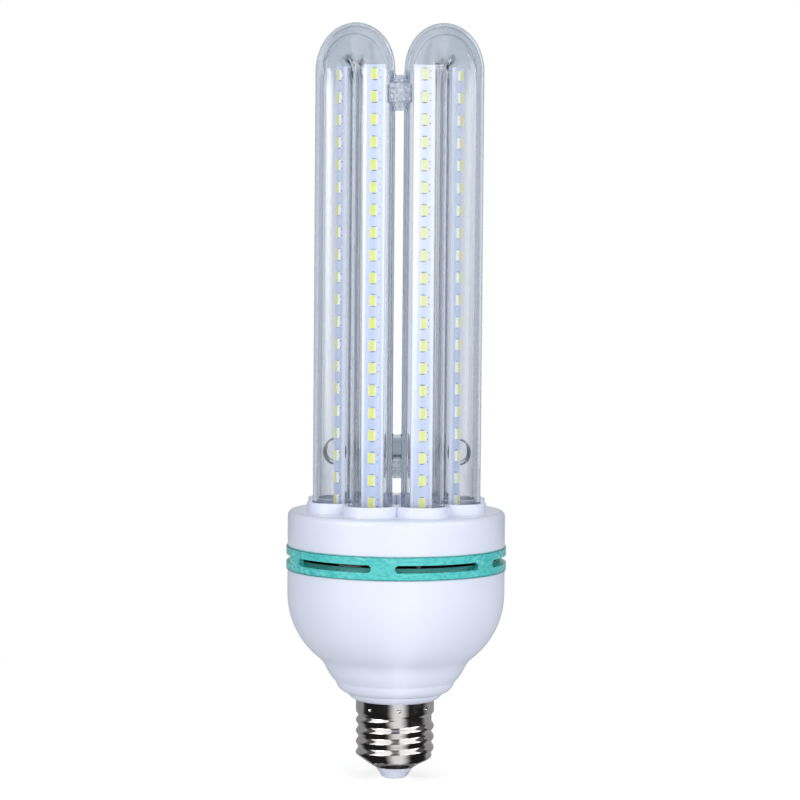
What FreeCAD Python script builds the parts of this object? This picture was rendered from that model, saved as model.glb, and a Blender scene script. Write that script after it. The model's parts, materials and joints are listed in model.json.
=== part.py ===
import FreeCAD, Part
import math
import os
import sys

import Sketcher
from FreeCAD import Placement, Rotation, Vector

# A screw-cap lamp with four U-bent clear glass tubes round its axis.
# A strip of light chips stands in each of the eight legs.
# Axis along +Z, front along -Y, z = 0 at the bottom of the centre contact.

DRIVING_SIZES = {
    # glass
    "leg_circle_radius": 22.3,
    "tube_diameter": 14.1,
    "tube_wall": 0.9,
    "leg_height": 141.4,
    "tube_foot_depth": 4.2,
    "bridge_diameter": 8.2,
    "bridge_wall": 1.0,
    "bridge_height": 16.1,
    # clear beads of glue between the legs
    "bead_diameter": 12.0,
    "bead_round": 2.8,
    "top_bead_drop": 1.6,
    "top_bead_length": 11.4,
    "back_bead_length": 6.4,
    # light strips
    "strip_width": 7.5,
    "strip_thickness": 1.0,
    "strip_offset": 1.15,
    "strip_foot_depth": 8.5,
    "strip_end_margin": 3.0,
    "chip_count": 20,
    "chip_spacing": 7.34,
    "first_chip_height": 0.8,
    "chip_width": 2.8,
    "chip_length": 3.5,
    "chip_thickness": 0.7,
    "window_width": 2.4,
    "window_length": 3.1,
    "window_thickness": 0.1,
    # top cover
    "housing_diameter": 72.4,
    "housing_wall": 2.0,
    "cover_height": 11.9,
    "cover_plate": 2.0,
    "shoulder_round": 1.8,
    "seam_chamfer": 0.35,
    "collar_diameter": 18.0,
    "collar_height": 3.4,
    "collar_clearance": 0.35,
    "ledge_width": 1.8,
    # vent ring
    "ring_height": 7.5,
    "ring_proud": 0.4,
    "slot_height": 2.5,
    "slot_width": 29.6,
    "slot_drop": 3.85,
    "slot_turn": 23.3,
    "lip_thickness": 1.2,
    "lip_depth": 4.2,
    "lip_clearance": 0.1,
    # bowl
    "bowl_side_height": 8.4,
    "bowl_arc_radius": 27.0,
    "neck_radius": 26.2,
    "neck_height": 8.1,
    "neck_hollow_radius": 10.0,
    "waist_radius": 23.2,
    "waist_height": 4.3,
    "waist_roll_radius": 16.5,
    "upper_step_radius": 20.0,
    "upper_roll_height": 4.1,
    "lower_step_radius": 16.1,
    "lower_roll_height": 2.4,
    "step_ledge": 0.35,
    "roll_radius": 5.0,
    "stub_wall": 1.9,
    "stub_clearance": 0.05,
    "rib_width": 3.4,
    "rib_thickness": 1.6,
    "rib_height": 8.0,
    # screw cap
    "cap_height": 26.4,
    "skirt_diameter": 26.2,
    "skirt_length": 3.8,
    "skirt_slope_height": 1.6,
    "sheet_thickness": 0.3,
    "thread_root_diameter": 24.2,
    "thread_pitch": 3.629,
    "thread_top_gap": 1.2,
    "thread_crest_width": 1.0,
    "thread_foot_width": 2.7,
    "thread_first_height": 8.2,
    "thread_start_turn": -111.3,
    "cone_top_height": 7.4,
    "cone_mouth_height": 3.7,
    "cone_mouth_diameter": 13.6,
    "insulator_tip_diameter": 8.0,
    "insulator_depth": 3.2,
    "contact_diameter": 6.6,
    "contact_thickness": 0.3,
    "contact_stem_diameter": 2.4,
    "contact_stem_length": 2.2,
    "stem_clearance": 0.05,
    # driver board and what it carries
    "board_thickness": 1.6,
    "board_clearance": 0.5,
    "board_seat_drop": 6.4,
    "input_capacitor_diameter": 10.0,
    "input_capacitor_height": 15.0,
    "output_capacitor_diameter": 8.0,
    "output_capacitor_height": 8.2,
    "choke_diameter": 13.0,
    "choke_height": 12.0,
    "choke_flange": 1.8,
    "choke_hub_diameter": 6.0,
    "winding_diameter": 11.6,
    "film_capacitor_length": 13.0,
    "film_capacitor_width": 5.0,
    "film_capacitor_height": 9.5,
    "rectifier_length": 5.0,
    "rectifier_width": 4.0,
    "rectifier_height": 2.4,
    "driver_chip_length": 5.0,
    "driver_chip_width": 4.0,
    "driver_chip_height": 1.6,
    "fuse_diameter": 3.4,
    "fuse_length": 9.0,
    # wires
    "lead_diameter": 1.4,
    "lead_bend_radius": 1.8,
    "lead_joint_height": 3.0,
    "jumper_height": 1.2,
    "jumper_gap": 2.0,
}

doc = FreeCAD.newDocument("corn_bulb")
sheet = doc.addObject("Spreadsheet::Sheet", "size")
for row, (alias, number) in enumerate(DRIVING_SIZES.items(), start=1):
    sheet.set(f"A{row}", alias.replace("_", " "))
    sheet.set(f"B{row}", str(number))
    sheet.setAlias(f"B{row}", alias)
doc.recompute()

# The eight legs stand a full step apart, and each U-bend joins two of them.
LEG_COUNT = 8
STEP_ANGLE = 360 / LEG_COUNT
HALF_STEP = STEP_ANGLE / 2
SLOT_COUNT = 6
RIB_COUNT = 4
# A piece is drawn with its radial direction along +X, so the front is this turn away.
FRONT_TURN = -90

# Radii and reaches, as expressions on the sheet
TUBE_RADIUS = "size.tube_diameter / 2"
TUBE_BORE = f"({TUBE_RADIUS} - size.tube_wall)"
HALF_SPAN = f"(size.leg_circle_radius * sin({HALF_STEP}))"
PAIR_RADIUS = f"(size.leg_circle_radius * cos({HALF_STEP}))"
HOUSING_RADIUS = "size.housing_diameter / 2"
HOUSING_BORE = f"({HOUSING_RADIUS} - size.housing_wall)"
LIP_RADIUS = f"({HOUSING_BORE} - size.lip_clearance)"
LIP_BORE = f"({LIP_RADIUS} - size.lip_thickness)"
SKIRT_RADIUS = "size.skirt_diameter / 2"
SKIRT_BORE = f"({SKIRT_RADIUS} - size.sheet_thickness)"
ROOT_RADIUS = "size.thread_root_diameter / 2"
ROOT_BORE = f"({ROOT_RADIUS} - size.sheet_thickness)"
MOUTH_RADIUS = "size.cone_mouth_diameter / 2"
MOUTH_BORE = f"({MOUTH_RADIUS} - size.sheet_thickness)"
STUB_RADIUS = f"({SKIRT_BORE} - size.stub_clearance)"
STUB_BORE = f"({STUB_RADIUS} - size.stub_wall)"
LEAD_RADIUS = "size.lead_diameter / 2"
ARC_CENTRE = f"({HOUSING_RADIUS} - size.bowl_arc_radius)"
ARC_DROP = f"sqrt(size.bowl_arc_radius ^ 2 - (size.neck_radius - {ARC_CENTRE}) ^ 2)"
WALL_SHARE = "(1 - size.housing_wall / size.bowl_arc_radius)"

# Heights, from the contact up
SKIRT_FOOT = "(size.cap_height - size.skirt_length)"
# the stub ends one wire's width above the skirt's foot, where the side wire passes under it
STUB_FOOT = f"({SKIRT_FOOT} + size.lead_diameter)"
LOWER_STEP = "(size.cap_height + size.lower_roll_height)"
UPPER_STEP = f"({LOWER_STEP} + size.upper_roll_height)"
WAIST = f"({UPPER_STEP} + size.waist_height)"
NECK_TOP = f"({UPPER_STEP} + size.neck_height)"
SIDE_FOOT = f"({NECK_TOP} + {ARC_DROP})"
BOWL_TOP = f"({SIDE_FOOT} + size.bowl_side_height)"
RING_TOP = f"({BOWL_TOP} + size.ring_height)"
SLOT_MIDDLE = f"({RING_TOP} - size.slot_drop)"
COVER_TOP = f"({RING_TOP} + size.cover_height)"
COLLAR_RIM = f"({COVER_TOP} + size.collar_height)"
TUBE_FOOT = f"({COLLAR_RIM} - size.tube_foot_depth)"
BEND_FOOT = f"({COLLAR_RIM} + size.leg_height)"
BRIDGE_HEIGHT = f"({COLLAR_RIM} + size.bridge_height)"
STRIP_FOOT = f"({COLLAR_RIM} - size.strip_foot_depth)"
FIRST_CHIP = f"({COLLAR_RIM} + size.first_chip_height)"
CHIP_REACH = "((size.chip_count - 1) * size.chip_spacing)"
STRIP_TOP = f"({FIRST_CHIP} + {CHIP_REACH} + size.strip_end_margin)"
STRIP_FACE = "(size.leg_circle_radius - size.strip_offset)"
STRIP_BACK = f"({STRIP_FACE} - size.strip_thickness)"
BOARD_FOOT = f"({BOWL_TOP} - size.board_seat_drop)"
BOARD_TOP = f"({BOARD_FOOT} + size.board_thickness)"
BOARD_RADIUS = f"({HOUSING_BORE} - size.board_clearance)"
STEM_TOP = "(size.contact_thickness + size.contact_stem_length)"


def value(text):
    """The number that an expression on the sheet gives now."""
    return float(sheet.evalExpression(text))


def new_body(name, turn=FRONT_TURN):
    """An empty body of that name, turned about the lamp's axis."""
    body = doc.addObject("PartDesign::Body", name)
    body.Label = name
    body.Placement = Placement(Vector(0, 0, 0), Rotation(Vector(0, 0, 1), turn))
    return body


def own_item(body, role):
    """One of the body's own origin planes or axes."""
    return next(item for item in body.Origin.OriginFeatures if item.Role == role)


def new_sketch(body, name, plane="XZ_Plane", offset=None, turn=0):
    """A sketch on one of the body's own planes, moved along the plane's normal or turned about +Z."""
    sketch = body.newObject("Sketcher::SketchObject", name)
    sketch.AttachmentSupport = [(own_item(body, plane), "")]
    sketch.MapMode = "FlatFace"
    # on the upright planes the sketch's own y axis is the lamp's +Z
    upright = Vector(0, 0, 1) if plane == "XY_Plane" else Vector(0, 1, 0)
    sketch.AttachmentOffset = Placement(Vector(0, 0, 0), Rotation(upright, turn))
    if offset:
        sketch.setExpression("AttachmentOffset.Base.z", offset)
    return sketch


def place_point(sketch, edge, end, x, y):
    """Ties one end of an edge, or its centre, to two coordinates."""
    for kind, text, axis in (("DistanceX", x, -2), ("DistanceY", y, -1)):
        if text == "0":
            sketch.addConstraint(Sketcher.Constraint("PointOnObject", edge, end, axis))
        else:
            number = sketch.addConstraint(Sketcher.Constraint(kind, edge, end, value(text)))
            sketch.setExpression(f"Constraints[{number}]", text)


def set_radius(sketch, edge, radius):
    """Ties a circle's or an arc's radius to the sheet."""
    number = sketch.addConstraint(Sketcher.Constraint("Radius", edge, value(radius)))
    sketch.setExpression(f"Constraints[{number}]", radius)


def arc_between(start, finish, radius, bulge):
    """The shorter arc from start to finish. A bulge of 1 puts it to the right of the way, -1 to the left."""
    chord = finish - start
    rise = math.sqrt(radius ** 2 - (chord.Length / 2) ** 2)
    across = Vector(-chord.y, chord.x, 0).normalize()
    centre = start + chord * 0.5 + across * bulge * rise
    first, last = (start, finish) if bulge > 0 else (finish, start)
    angles = [math.atan2((point - centre).y, (point - centre).x) for point in (first, last)]
    if angles[1] < angles[0]:
        angles[1] += 2 * math.pi
    return Part.ArcOfCircle(Part.Circle(centre, Vector(0, 0, 1), radius), *angles)


def draw_outline(sketch, corners):
    """A closed outline. A corner with a third entry, (radius, bulge), starts an arc to the next."""
    points = [Vector(value(corner[0]), value(corner[1]), 0) for corner in corners]
    ends = []
    for index, corner in enumerate(corners):
        after = points[(index + 1) % len(points)]
        if len(corner) == 3:
            radius, bulge = corner[2]
            edge = sketch.addGeometry(arc_between(points[index], after, value(radius), bulge), False)
            set_radius(sketch, edge, radius)
            start, finish = (1, 2) if bulge > 0 else (2, 1)
        else:
            edge = sketch.addGeometry(Part.LineSegment(points[index], after), False)
            start, finish = 1, 2
        place_point(sketch, edge, start, corner[0], corner[1])
        ends.append((edge, start, finish))
    for index, (edge, _, finish) in enumerate(ends):
        following, start, _ = ends[(index + 1) % len(ends)]
        sketch.addConstraint(Sketcher.Constraint("Coincident", edge, finish, following, start))


def draw_box(sketch, left, right, low, high):
    """An upright rectangle."""
    draw_outline(sketch, [(left, low), (right, low), (right, high), (left, high)])


def draw_circle(sketch, x, y, radius):
    """A full circle about a point."""
    circle = Part.Circle(Vector(value(x), value(y), 0), Vector(0, 0, 1), value(radius))
    edge = sketch.addGeometry(circle, False)
    place_point(sketch, edge, 3, x, y)
    set_radius(sketch, edge, radius)


def draw_u_path(sketch, half_span, foot, bend):
    """Two upright legs joined by a half turn over the top."""
    reach, low, high = value(half_span), value(foot), value(bend)
    left = sketch.addGeometry(Part.LineSegment(Vector(-reach, low, 0), Vector(-reach, high, 0)), False)
    turn = Part.ArcOfCircle(Part.Circle(Vector(0, high, 0), Vector(0, 0, 1), reach), 0, math.pi)
    over = sketch.addGeometry(turn, False)
    right = sketch.addGeometry(Part.LineSegment(Vector(reach, high, 0), Vector(reach, low, 0)), False)
    place_point(sketch, left, 1, f"-{half_span}", foot)
    place_point(sketch, over, 3, "0", bend)
    for edge in (left, right):
        sketch.addConstraint(Sketcher.Constraint("Vertical", edge))
    sketch.addConstraint(Sketcher.Constraint("Tangent", left, 2, over, 2))
    sketch.addConstraint(Sketcher.Constraint("Tangent", over, 1, right, 1))
    number = sketch.addConstraint(Sketcher.Constraint("DistanceY", right, 2, low))
    sketch.setExpression(f"Constraints[{number}]", foot)


def draw_slot(sketch, middle, width, height):
    """A level slot with round ends, centred on the sketch's upright axis."""
    radius = f"({height} / 2)"
    centre_reach = f"({width} / 2 - {radius})"
    reach, level, round_radius = value(centre_reach), value(middle), value(radius)
    quarter = math.pi / 2
    right_circle = Part.Circle(Vector(reach, level, 0), Vector(0, 0, 1), round_radius)
    left_circle = Part.Circle(Vector(-reach, level, 0), Vector(0, 0, 1), round_radius)
    right = sketch.addGeometry(Part.ArcOfCircle(right_circle, -quarter, quarter), False)
    left = sketch.addGeometry(Part.ArcOfCircle(left_circle, quarter, 3 * quarter), False)
    above = level + round_radius
    below = level - round_radius
    top = sketch.addGeometry(Part.LineSegment(Vector(reach, above, 0), Vector(-reach, above, 0)), False)
    base = sketch.addGeometry(Part.LineSegment(Vector(-reach, below, 0), Vector(reach, below, 0)), False)
    place_point(sketch, right, 3, centre_reach, middle)
    place_point(sketch, left, 3, f"-{centre_reach}", middle)
    round_the_slot = (right, top, left, base)
    for index, edge in enumerate(round_the_slot):
        sketch.addConstraint(Sketcher.Constraint("Tangent", round_the_slot[index - 1], 2, edge, 1))
    set_radius(sketch, right, radius)


def revolve(body, sketch):
    """A full turn of the sketch about its own upright axis."""
    feature = body.newObject("PartDesign::Revolution", f"{sketch.Name}_turned")
    feature.Profile = sketch
    feature.ReferenceAxis = (sketch, ["V_Axis"])
    feature.Angle = 360
    return feature


def extrude(body, kind, sketch, length, midplane=False, reverse=False):
    """A Pad or a Pocket of the sketch, its length tied to the sheet."""
    feature = body.newObject(f"PartDesign::{kind}", f"{sketch.Name}_{kind.lower()}")
    feature.Profile = sketch
    feature.Midplane = midplane
    feature.Reversed = reverse
    feature.setExpression("Length", length)
    return feature


def polar_copies(body, original, count, angle=360):
    """Copies of a feature, evenly spread about the lamp's axis."""
    pattern = body.newObject("PartDesign::PolarPattern", f"{original.Name}_copies")
    pattern.Originals = [original]
    pattern.Axis = (own_item(body, "Z_Axis"), [""])
    pattern.Angle = angle
    pattern.Occurrences = count
    body.Tip = pattern
    return pattern


def make_u_tube(name, turn, bridged_sides):
    """A glass tube bent into a U, with a port in each leg that a bridge joins."""
    body = new_body(name, FRONT_TURN + turn)
    path = new_sketch(body, f"{name}_path", "YZ_Plane", PAIR_RADIUS)
    draw_u_path(path, HALF_SPAN, TUBE_FOOT, BEND_FOOT)
    section = new_sketch(body, f"{name}_section", "XY_Plane", TUBE_FOOT)
    draw_circle(section, PAIR_RADIUS, f"-{HALF_SPAN}", TUBE_RADIUS)
    draw_circle(section, PAIR_RADIUS, f"-{HALF_SPAN}", TUBE_BORE)
    tube = body.newObject("PartDesign::AdditivePipe", f"{name}_tube")
    tube.Profile = section
    tube.Spine = (path, [])
    for side in bridged_sides:
        # the port's plane stands midway between this leg and the next U's leg
        port = new_sketch(body, f"{name}_port_{'left' if side < 0 else 'right'}", turn=side * STEP_ANGLE)
        draw_circle(port, PAIR_RADIUS, BRIDGE_HEIGHT, "(size.bridge_diameter / 2 - size.bridge_wall)")
        extrude(body, "Pocket", port, HALF_SPAN, reverse=side > 0)
    return body


def cut_legs(body, name):
    """Takes the outlines of two neighbouring legs out of what stands between them."""
    legs = new_sketch(body, f"{name}_legs", "XY_Plane")
    draw_circle(legs, PAIR_RADIUS, HALF_SPAN, TUBE_RADIUS)
    draw_circle(legs, PAIR_RADIUS, f"-{HALF_SPAN}", TUBE_RADIUS)
    extrude(body, "Pocket", legs, BEND_FOOT, reverse=True)


def make_bridge(name, turn):
    """A short glass tube that joins the legs of two neighbouring Us, with saddle ends."""
    body = new_body(name, FRONT_TURN + turn)
    ring = new_sketch(body, f"{name}_ring")
    draw_circle(ring, PAIR_RADIUS, BRIDGE_HEIGHT, "size.bridge_diameter / 2")
    draw_circle(ring, PAIR_RADIUS, BRIDGE_HEIGHT, "(size.bridge_diameter / 2 - size.bridge_wall)")
    extrude(body, "Pad", ring, f"2 * {HALF_SPAN}", midplane=True)
    cut_legs(body, name)
    return body


def make_bead(name, turn, low, high):
    """A clear bead of glue with round edges that fills the gap between two legs."""
    body = new_body(name, FRONT_TURN + turn)
    radius = "(size.bead_diameter / 2)"
    flat = f"({radius} - size.bead_round)"
    half = new_sketch(body, f"{name}_half", "YZ_Plane", PAIR_RADIUS)
    draw_outline(half, [
        ("0", low),
        (flat, low, ("size.bead_round", -1)),
        (radius, f"{low} + size.bead_round"),
        (radius, f"{high} - size.bead_round", ("size.bead_round", -1)),
        (flat, high),
        ("0", high),
    ])
    revolve(body, half)
    cut_legs(body, name)
    return body


def make_strip(number, turn):
    """A light strip: its board, its row of chip housings and the phosphor window on each."""
    board = new_body(f"led_board_{number}", FRONT_TURN + turn)
    section = new_sketch(board, f"board_section_{number}", "XY_Plane", STRIP_FOOT)
    draw_box(section, STRIP_BACK, STRIP_FACE, "-size.strip_width / 2", "size.strip_width / 2")
    extrude(board, "Pad", section, f"{STRIP_TOP} - {STRIP_FOOT}")

    chip_top = f"({STRIP_FACE} + size.chip_thickness)"
    window_top = f"({chip_top} + size.window_thickness)"
    layers = (
        ("led_housings", "size.chip_width", "size.chip_length", STRIP_FACE, chip_top),
        ("led_phosphor", "size.window_width", "size.window_length", chip_top, window_top),
    )
    for name, width, length, back, front in layers:
        body = new_body(f"{name}_{number}", FRONT_TURN + turn)
        outline = new_sketch(body, f"{name}_outline_{number}", "YZ_Plane", back)
        low, high = f"{FIRST_CHIP} - {length} / 2", f"{FIRST_CHIP} + {length} / 2"
        draw_box(outline, f"-{width} / 2", f"{width} / 2", low, high)
        one = extrude(body, "Pad", outline, f"{front} - {back}")
        row_of = body.newObject("PartDesign::LinearPattern", f"{name}_row_{number}")
        row_of.Originals = [one]
        row_of.Direction = (own_item(body, "Z_Axis"), [""])
        row_of.setExpression("Length", CHIP_REACH)
        row_of.setExpression("Occurrences", "size.chip_count")
        body.Tip = row_of


def make_cover():
    """The upper housing: a shallow cup with a round shoulder and eight collars that the legs stand in."""
    body = new_body("top_cover")
    cup = new_sketch(body, "cover_cup")
    plate_foot = f"({COVER_TOP} - size.cover_plate)"
    draw_outline(cup, [
        (f"{HOUSING_RADIUS} - size.seam_chamfer", RING_TOP),
        (HOUSING_RADIUS, f"{RING_TOP} + size.seam_chamfer"),
        (HOUSING_RADIUS, f"{COVER_TOP} - size.shoulder_round", ("size.shoulder_round", 1)),
        (f"{HOUSING_RADIUS} - size.shoulder_round", COVER_TOP),
        ("0", COVER_TOP),
        ("0", plate_foot),
        (HOUSING_BORE, plate_foot),
        (HOUSING_BORE, RING_TOP),
    ])
    revolve(body, cup)
    collar = new_sketch(body, "cover_collar", "XY_Plane", plate_foot, HALF_STEP)
    draw_circle(collar, "size.leg_circle_radius", "0", "size.collar_diameter / 2")
    raised = extrude(body, "Pad", collar, "size.cover_plate + size.collar_height")
    polar_copies(body, raised, LEG_COUNT)
    # a leg stands on a ledge in its bore, and its strip's foot reaches through the ledge
    bores = (
        ("cover_bore", f"{TUBE_RADIUS} + size.collar_clearance", "size.tube_foot_depth"),
        ("cover_passage", f"{TUBE_RADIUS} - size.ledge_width", "2 * size.cover_plate + size.collar_height"),
    )
    for name, radius, depth in bores:
        bore = new_sketch(body, name, "XY_Plane", COLLAR_RIM, HALF_STEP)
        draw_circle(bore, "size.leg_circle_radius", "0", radius)
        drilled = extrude(body, "Pocket", bore, depth)
        polar_copies(body, drilled, LEG_COUNT)


def make_vent_ring():
    """The coloured ring between the housings: six long slots, and lips that centre both housings."""
    body = new_body("vent_ring", FRONT_TURN + value("size.slot_turn"))
    ring_radius = f"({HOUSING_RADIUS} + size.ring_proud)"
    band = new_sketch(body, "ring_band")
    draw_box(band, LIP_RADIUS, ring_radius, BOWL_TOP, RING_TOP)
    revolve(body, band)
    slot = new_sketch(body, "ring_slot", "YZ_Plane", ring_radius)
    draw_slot(slot, SLOT_MIDDLE, "size.slot_width", "size.slot_height")
    # the slot is straight-drawn, so its ends lie further in than its middle
    depth = f"({ring_radius} - sqrt({LIP_RADIUS} ^ 2 - (size.slot_width / 2) ^ 2))"
    cut = extrude(body, "Pocket", slot, depth)
    polar_copies(body, cut, SLOT_COUNT)
    lower = new_sketch(body, "ring_lower_lip")
    draw_box(lower, LIP_BORE, LIP_RADIUS, f"{BOWL_TOP} - size.lip_depth", SLOT_MIDDLE)
    revolve(body, lower)
    upper = new_sketch(body, "ring_upper_lip")
    slot_top = f"{SLOT_MIDDLE} + size.slot_height / 2"
    draw_box(upper, LIP_BORE, LIP_RADIUS, slot_top, f"{RING_TOP} + size.lip_depth")
    body.Tip = revolve(body, upper)


def make_bowl():
    """The lower housing: a moulded bowl, a waist, two rolled steps and the stub that the shell grips."""
    body = new_body("bowl_housing")
    wall = new_sketch(body, "bowl_wall")
    inner_arc = "(size.bowl_arc_radius - size.housing_wall)"
    inner_neck = f"({ARC_CENTRE} + (size.neck_radius - {ARC_CENTRE}) * {WALL_SHARE})"
    draw_outline(wall, [
        (f"{HOUSING_RADIUS} - size.seam_chamfer", BOWL_TOP),
        (HOUSING_RADIUS, f"{BOWL_TOP} - size.seam_chamfer"),
        (HOUSING_RADIUS, SIDE_FOOT, ("size.bowl_arc_radius", -1)),
        ("size.neck_radius", NECK_TOP, ("size.neck_hollow_radius", 1)),
        ("size.waist_radius", WAIST, ("size.waist_roll_radius", -1)),
        ("size.upper_step_radius + size.step_ledge", UPPER_STEP),
        ("size.upper_step_radius", UPPER_STEP, ("size.roll_radius", -1)),
        ("size.lower_step_radius + size.step_ledge", LOWER_STEP),
        ("size.lower_step_radius", LOWER_STEP, ("size.roll_radius", -1)),
        (f"{SKIRT_RADIUS} + size.step_ledge", "size.cap_height"),
        (STUB_RADIUS, "size.cap_height"),
        (STUB_RADIUS, STUB_FOOT),
        (STUB_BORE, STUB_FOOT),
        (STUB_BORE, f"{LOWER_STEP} + size.housing_wall / 2"),
        ("size.upper_step_radius - size.housing_wall", f"{UPPER_STEP} + size.housing_wall"),
        (inner_neck, f"{SIDE_FOOT} - {ARC_DROP} * {WALL_SHARE}", (inner_arc, 1)),
        (HOUSING_BORE, SIDE_FOOT),
        (HOUSING_BORE, BOWL_TOP),
    ])
    revolve(body, wall)
    rib = new_sketch(body, "bowl_rib", turn=HALF_STEP)
    rib_root = f"{HOUSING_BORE} + size.housing_wall / 2"
    rib_foot = f"{BOARD_FOOT} - size.rib_height"
    draw_box(rib, f"{HOUSING_BORE} - size.rib_width", rib_root, rib_foot, BOARD_FOOT)
    one = extrude(body, "Pad", rib, "size.rib_thickness", midplane=True)
    polar_copies(body, one, RIB_COUNT)


def make_screw_shell():
    """The formed metal shell: a plain skirt, a threaded barrel and a cone down to the insulator."""
    body = new_body("screw_shell", FRONT_TURN + value("size.thread_start_turn"))
    slope_foot = f"({SKIRT_FOOT} - size.skirt_slope_height)"
    sheet_wall = new_sketch(body, "shell_wall")
    draw_outline(sheet_wall, [
        (SKIRT_RADIUS, "size.cap_height"),
        (SKIRT_RADIUS, SKIRT_FOOT),
        (ROOT_RADIUS, slope_foot),
        (ROOT_RADIUS, "size.cone_top_height"),
        (MOUTH_RADIUS, "size.cone_mouth_height"),
        (MOUTH_BORE, "size.cone_mouth_height"),
        (ROOT_BORE, "size.cone_top_height"),
        (ROOT_BORE, slope_foot),
        (SKIRT_BORE, SKIRT_FOOT),
        (SKIRT_BORE, "size.cap_height"),
    ])
    revolve(body, sheet_wall)
    ridge = new_sketch(body, "shell_ridge")
    ridge_root = f"{ROOT_RADIUS} - size.sheet_thickness / 2"
    first = "size.thread_first_height"
    draw_outline(ridge, [
        (ridge_root, f"{first} - size.thread_foot_width / 2"),
        (SKIRT_RADIUS, f"{first} - size.thread_crest_width / 2"),
        (SKIRT_RADIUS, f"{first} + size.thread_crest_width / 2"),
        (ridge_root, f"{first} + size.thread_foot_width / 2"),
    ])
    thread = body.newObject("PartDesign::AdditiveHelix", "shell_thread")
    thread.Profile = ridge
    thread.ReferenceAxis = (ridge, ["V_Axis"])
    thread.Mode = "pitch-turns-angle"
    thread.setExpression("Pitch", "size.thread_pitch")
    thread.setExpression("Turns", f"({slope_foot} - size.thread_top_gap - {first}) / size.thread_pitch")
    thread.LeftHanded = False
    body.Tip = thread


def make_cap_tip():
    """The insulator that closes the shell's cone, and the contact riveted to its tip."""
    hole = "(size.contact_stem_diameter / 2 + size.stem_clearance)"
    cone_share = "(size.insulator_depth / (size.cone_top_height - size.cone_mouth_height))"
    inside_top = "(size.cone_mouth_height + size.insulator_depth)"
    insulator = new_body("cap_insulator")
    section = new_sketch(insulator, "insulator_section")
    draw_outline(section, [
        (hole, "size.contact_thickness"),
        ("size.insulator_tip_diameter / 2", "size.contact_thickness"),
        (MOUTH_BORE, "size.cone_mouth_height"),
        (f"{MOUTH_BORE} + ({ROOT_BORE} - {MOUTH_BORE}) * {cone_share}", inside_top),
        (hole, inside_top),
    ])
    revolve(insulator, section)
    contact = new_body("centre_contact")
    section = new_sketch(contact, "contact_section")
    draw_outline(section, [
        ("0", "0"),
        ("size.contact_diameter / 2", "0"),
        ("size.contact_diameter / 2", "size.contact_thickness"),
        ("size.contact_stem_diameter / 2", "size.contact_thickness"),
        ("size.contact_stem_diameter / 2", STEM_TOP),
        ("0", STEM_TOP),
    ])
    revolve(contact, section)


def board_place(share, turn):
    """A place on the board, as x and y: a share of its radius, at a turn from +X."""
    return f"{share} * {BOARD_RADIUS} * cos({turn})", f"{share} * {BOARD_RADIUS} * sin({turn})"


def make_disc(name, place, radius, foot, height):
    """An upright round piece at a place on the board."""
    piece = doc.addObject("Part::Cylinder", name)
    piece.Label = name
    piece.setExpression("Radius", radius)
    piece.setExpression("Height", height)
    for axis, expression in zip("xyz", (*place, foot)):
        piece.setExpression(f"Placement.Base.{axis}", expression)
    return piece


def make_block(name, place):
    """A box-shaped component on the board, centred at a place."""
    piece = doc.addObject("Part::Box", name)
    piece.Label = name
    piece.setExpression("Length", f"size.{name}_length")
    piece.setExpression("Width", f"size.{name}_width")
    piece.setExpression("Height", f"size.{name}_height")
    piece.setExpression("Placement.Base.x", f"{place[0]} - size.{name}_length / 2")
    piece.setExpression("Placement.Base.y", f"{place[1]} - size.{name}_width / 2")
    piece.setExpression("Placement.Base.z", BOARD_TOP)
    return piece


def make_choke(place):
    """A drum choke: a ferrite spool and the copper wound on it."""
    flange_radius = "size.choke_diameter / 2"
    hub_radius = "size.choke_hub_diameter / 2"
    winding_radius = "size.winding_diameter / 2"
    low = f"({BOARD_TOP} + size.choke_flange)"
    high = f"({BOARD_TOP} + size.choke_height - size.choke_flange)"
    top = f"({BOARD_TOP} + size.choke_height)"
    outlines = {
        "choke_core": [
            ("0", BOARD_TOP), (flange_radius, BOARD_TOP), (flange_radius, low), (hub_radius, low),
            (hub_radius, high), (flange_radius, high), (flange_radius, top), ("0", top),
        ],
        "choke_winding": [
            (hub_radius, low), (winding_radius, low), (winding_radius, high), (hub_radius, high),
        ],
    }
    for name, corners in outlines.items():
        body = new_body(name, 0)
        body.setExpression("Placement.Base.x", place[0])
        body.setExpression("Placement.Base.y", place[1])
        section = new_sketch(body, f"{name}_section")
        draw_outline(section, corners)
        revolve(body, section)


def make_driver():
    """The round driver board on the bowl's ribs, with the components that stand on it."""
    make_disc("driver_board", ("0", "0"), BOARD_RADIUS, BOARD_FOOT, "size.board_thickness")
    # the output capacitor stands behind the front left slot of the vent ring
    for name, share, turn in (("input_capacitor", 0.48, 22), ("output_capacitor", 0.74, 233)):
        radius, height = f"size.{name}_diameter / 2", f"size.{name}_height"
        make_disc(name, board_place(share, turn), radius, BOARD_TOP, height)
    blocks = (("film_capacitor", 0.57, 313), ("rectifier", 0.54, 84), ("driver_chip", 0.12, 256))
    for name, share, turn in blocks:
        make_block(name, board_place(share, turn))
    make_choke(board_place(0.45, 143))
    fuse_place = board_place(0.64, 202)
    fuse_height = f"{BOARD_TOP} + size.fuse_diameter / 2"
    fuse = make_disc("fuse_resistor", fuse_place, "size.fuse_diameter / 2", fuse_height, "size.fuse_length")
    fuse.Placement.Rotation = Rotation(Vector(0, 1, 0), 90)


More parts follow.
